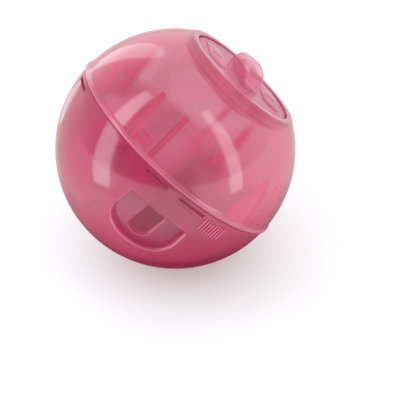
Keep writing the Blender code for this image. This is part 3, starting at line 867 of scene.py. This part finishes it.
sunk = CAP_TOP - 3 * CAP_PLATE / 4
worked(fill_cap, arched_bar(BAR_HALF_LENGTH, BAR_HALF_WIDTH, sunk, BAR_CREST, BAR_EDGE), "UNION")
welded = bmesh.new()
lug_in, lug_out = SKIRT_RADIUS - SKIRT_WALL / 2, SKIRT_RADIUS + LUG_PROUD
lug = ((lug_in, LUG_TOP), (lug_out, LUG_TOP),
       (lug_out, LUG_TOP - LUG_HEIGHT), (lug_in, LUG_TOP - LUG_HEIGHT))
for turn in LUG_TURNS:
    curved_block(lug, turn - LUG_HALF_ANGLE, turn + LUG_HALF_ANGLE, welded, EASED)
pad_centres = [in_ball(PAD_OFFSET, BAR_ANGLE + side, 0) for side in (-90, 90)]
pad_top = CAP_TOP + PAD_PROUD
for centre in pad_centres:
    oval_block(centre, PAD_HALF_LENGTH, PAD_HALF_WIDTH, BAR_ANGLE, sunk, pad_top, welded, CRISP)
worked(fill_cap, welded, "UNION")

hollow = arched_bar(BAR_HALF_LENGTH - BAR_WALL, BAR_HALF_WIDTH - BAR_WALL,
                    CAP_UNDERSIDE - CUT_PAST, BAR_CREST - BAR_WALL, SOFT)
worked(fill_cap, hollow, "DIFFERENCE")
slots = bmesh.new()
low, high = CAP_TOP - SLOT_DEPTH, pad_top + CUT_PAST
for centre in pad_centres:
    oval_block(centre, PAD_SLOT / 2, SLOT_WIDTH / 2, BAR_ANGLE + 90, low, high, slots)
for side in (1, -1):
    for x, y in FOOT_SLOTS:
        centre = Vector((side * x, side * y, 0))
        oval_block(centre, FOOT_SLOT / 2, SLOT_WIDTH / 2, 90, low, high, slots)
worked(fill_cap, slots, "DIFFERENCE")

cap_pink = clear_pink("clear_pink_cap", mist=CAP_MIST, milkiness=0.25, gloss=0.05, cut_haze=0.08,
                      stepped=0.7, middle=CAP_MIDDLE, skin=0.0, glow=CAP_GLOW, shine=0.5,
                      tint=CAP_TINT)
pad_pink = clear_pink("frosted_pink_pad", mist=PAD_MIST, milkiness=0.50, gloss=0.34, cut_haze=0.1,
                      grain=0.12, stepped=1.0, middle=CAP_MIDDLE, skin=0.0, shine=0.45,
                      tint=CAP_TINT)
put_in_place(fill_cap, "fill_cap", "cap", "cap_pink", cap_pink, pad_pink)
for face in fill_cap.data.polygons:
    if abs(face.center.z - pad_top) < PAD_PROUD / 2 and face.normal.z > PAD_FACING:
        if any((face.center.xy - centre.xy).length < PAD_HALF_LENGTH for centre in pad_centres):
            face.material_index = 1


# Table and camera: a pale studio table covered in white paper, which the ball lies on, tipped
# over on its side as photographed, and the camera, in the place that the photograph was taken
# from.

VIEW_SIDE = Vector((0.7471, -0.0297, 0.6641))
VIEW_UP = Vector((-0.6130, 0.3559, 0.7054))
VIEW_BACK = Vector((-0.2573, -0.9341, 0.2477))
VIEW_DISTANCE = 0.5016
VIEW_LENS = 142.4
VIEW_CLIP = (0.01, 20)
FOCAL_PIXELS = 1582
VIEW_AIM = (24.5 / FOCAL_PIXELS, -51.3 / FOCAL_PIXELS)

TABLE_TILT = 35.0
TABLE_DROP = 0.0386
TABLE_HALF_WIDTH = 1.6
PAPER_WHITE = (0.86, 0.87, 0.88, 1)
# Painted shadow: the dark pink that the paper takes on near the ball, seen only in reflections.
PAINTED_SHADOW_UNDER_BALL = (0.30, 0.05, 0.09, 1)
PAINTED_SHADOW_REACH = (("From Min", 0.026), ("From Max", 0.075), ("To Min", 1.0), ("To Max", 0.24))
PAPER_LIFT = 0.14


def from_view(across, up, back):
    """A point given as the photograph sees it, from the middle of the ball."""
    return VIEW_SIDE * across + VIEW_UP * up + VIEW_BACK * back


def facing(place, aim, upward):
    """Stands a lamp or camera at a place, looking at another, with its top towards upward."""
    back = (place - aim).normalized()
    side = upward.cross(back).normalized()
    turn = Matrix((side, back.cross(side), back)).transposed().to_4x4()
    return Matrix.Translation(place) @ turn


camera = bpy.data.objects.new("camera", bpy.data.cameras.new("camera"))
bpy.context.collection.objects.link(camera)
camera.data.lens = VIEW_LENS
camera.data.clip_start, camera.data.clip_end = VIEW_CLIP
target = from_view(VIEW_AIM[0] * VIEW_DISTANCE, VIEW_AIM[1] * VIEW_DISTANCE, 0)
camera.matrix_world = facing(from_view(0, 0, VIEW_DISTANCE), target, VIEW_UP)
bpy.context.scene.camera = camera
bpy.context.scene.view_settings.view_transform = "Standard"

tilt = math.radians(TABLE_TILT)
table_up = (VIEW_UP * math.cos(tilt) + VIEW_BACK * math.sin(tilt)).normalized()
table_form = bmesh.new()
bmesh.ops.create_grid(table_form, x_segments=8, y_segments=8, size=TABLE_HALF_WIDTH)
table = piece_from("table", table_form)
table.matrix_world = facing(table_up * -TABLE_DROP, table_up * -(1 + TABLE_DROP), VIEW_UP)
table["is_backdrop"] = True

# Seen in the ball's reflections, the paper carries a painted shadow, tinted dark pink, that grows
# towards the place where the ball lies on it. Seen by the camera it is a little brighter than
# its light makes it, and from below it is clear.
paper = bpy.data.materials.new("white_paper")
paper.use_nodes = True
nodes, links = paper.node_tree.nodes, paper.node_tree.links
sheet, output = nodes["Principled BSDF"], nodes["Material Output"]
sheet.inputs["Roughness"].default_value = 0.9
sheet.inputs["Specular IOR Level"].default_value = 0.1
rays = nodes.new("ShaderNodeLightPath")
far = nodes.new("ShaderNodeVectorMath")
far.operation = "LENGTH"
links.new(nodes.new("ShaderNodeTexCoord").outputs["Object"], far.inputs[0])
# Painted shadow, seen only by glossy rays: the paper turns dark pink towards the ball's contact
# point.
painted_shadow_fade = nodes.new("ShaderNodeMapRange")
for socket, value in PAINTED_SHADOW_REACH:
    painted_shadow_fade.inputs[socket].default_value = value
links.new(far.outputs["Value"], painted_shadow_fade.inputs["Value"])
painted_shadow_share = nodes.new("ShaderNodeMath")
painted_shadow_share.operation = "MULTIPLY"
links.new(painted_shadow_fade.outputs["Result"], painted_shadow_share.inputs[0])
links.new(rays.outputs["Is Glossy Ray"], painted_shadow_share.inputs[1])
shade = nodes.new("ShaderNodeMixRGB")
shade.inputs["Color1"].default_value = PAPER_WHITE
shade.inputs["Color2"].default_value = PAINTED_SHADOW_UNDER_BALL
links.new(painted_shadow_share.outputs["Value"], shade.inputs["Fac"])
links.new(shade.outputs["Color"], sheet.inputs["Base Color"])
seen = nodes.new("ShaderNodeMath")
seen.operation = "MAXIMUM"
links.new(rays.outputs["Is Camera Ray"], seen.inputs[0])
links.new(rays.outputs["Is Transmission Ray"], seen.inputs[1])
lift = nodes.new("ShaderNodeMath")
lift.operation = "MULTIPLY"
lift.inputs[1].default_value = PAPER_LIFT
links.new(seen.outputs["Value"], lift.inputs[0])
sheet.inputs["Emission Color"].default_value = (1, 1, 1, 1)
links.new(lift.outputs["Value"], sheet.inputs["Emission Strength"])
below = nodes.new("ShaderNodeNewGeometry")
clear = nodes.new("ShaderNodeBsdfTransparent")
sides = nodes.new("ShaderNodeMixShader")
links.new(below.outputs["Backfacing"], sides.inputs["Fac"])
links.new(sheet.outputs["BSDF"], sides.inputs[1])
links.new(clear.outputs["BSDF"], sides.inputs[2])
links.new(sides.outputs["Shader"], output.inputs["Surface"])
table.data.materials.append(paper)


# Light: a white room all round, whose reflection falls off towards the camera, and four soft
# panels, which are tall narrow ones left and right, a broad one above and behind, and a small one
# low behind.

ROOM_FALL = (("From Min", -0.7), ("From Max", 0.4), ("To Min", 1.0), ("To Max", 0.08))
ROOM_LIGHT = 1.07
DAYLIGHT = (0.76, 1.0, 1.0)

# Each panel's name, its two ends as the photograph sees them, its width, brightness and shape.
PANELS = (
    ("panel_right", (0.1057, -0.0732, 0.0604), (0.102, 0.1325, 0.1934), 0.028, 1.6, "RECTANGLE"),
    ("panel_left", (-0.122, -0.060, 0.040), (-0.090, 0.190, 0.150), 0.040, 1.6, "RECTANGLE"),
    ("panel_low", (-0.085, 0.018, -0.090), (-0.130, 0.096, -0.146), 0.045, 0.7, "ELLIPSE"),
    ("panel_behind", (-0.282, 0.27, -0.44), (-0.09, 0.60, -0.05), 0.17, 1.0, "ELLIPSE"),
)

world = bpy.data.worlds.new("studio")
world.use_nodes = True
bpy.context.scene.world = world
nodes, links = world.node_tree.nodes, world.node_tree.links
backdrop = nodes["Background"]
backdrop.inputs["Color"].default_value = (1, 1, 1, 1)
rays = nodes.new("ShaderNodeLightPath")
towards = nodes.new("ShaderNodeVectorMath")
towards.operation = "DOT_PRODUCT"
towards.inputs[1].default_value = VIEW_BACK
links.new(nodes.new("ShaderNodeTexCoord").outputs["Generated"], towards.inputs[0])
room = nodes.new("ShaderNodeMapRange")
for socket, value in ROOM_FALL:
    room.inputs[socket].default_value = value
links.new(towards.outputs["Value"], room.inputs["Value"])
lit = nodes.new("ShaderNodeMapRange")
lit.inputs["To Min"].default_value = 1.0
lit.inputs["To Max"].default_value = ROOM_LIGHT
links.new(rays.outputs["Is Diffuse Ray"], lit.inputs["Value"])
level = nodes.new("ShaderNodeMix")
links.new(rays.outputs["Is Glossy Ray"], level.inputs["Factor"])
links.new(lit.outputs["Result"], level.inputs["A"])
links.new(room.outputs["Result"], level.inputs["B"])
links.new(level.outputs["Result"], backdrop.inputs["Strength"])


def light_panel(name, low, high, width, brightness, shape):
    """A soft panel that runs from one point to another and faces the ball."""
    panel = bpy.data.lights.new(name, "AREA")
    panel.shape = shape
    panel.size = width
    panel.size_y = (high - low).length
    area = panel.size * panel.size_y * (math.pi / 4 if shape == "ELLIPSE" else 1)
    panel.energy = brightness * math.pi * area
    panel.color = DAYLIGHT
    lamp = bpy.data.objects.new(name, panel)
    bpy.context.collection.objects.link(lamp)
    middle = (low + high) / 2
    along = (high - low).normalized()
    back = middle - along * middle.dot(along)
    lamp.matrix_world = facing(middle, middle - back, along)


for name, start, end, width, brightness, shape in PANELS:
    light_panel(name, from_view(*start), from_view(*end), width, brightness, shape)

low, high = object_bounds()
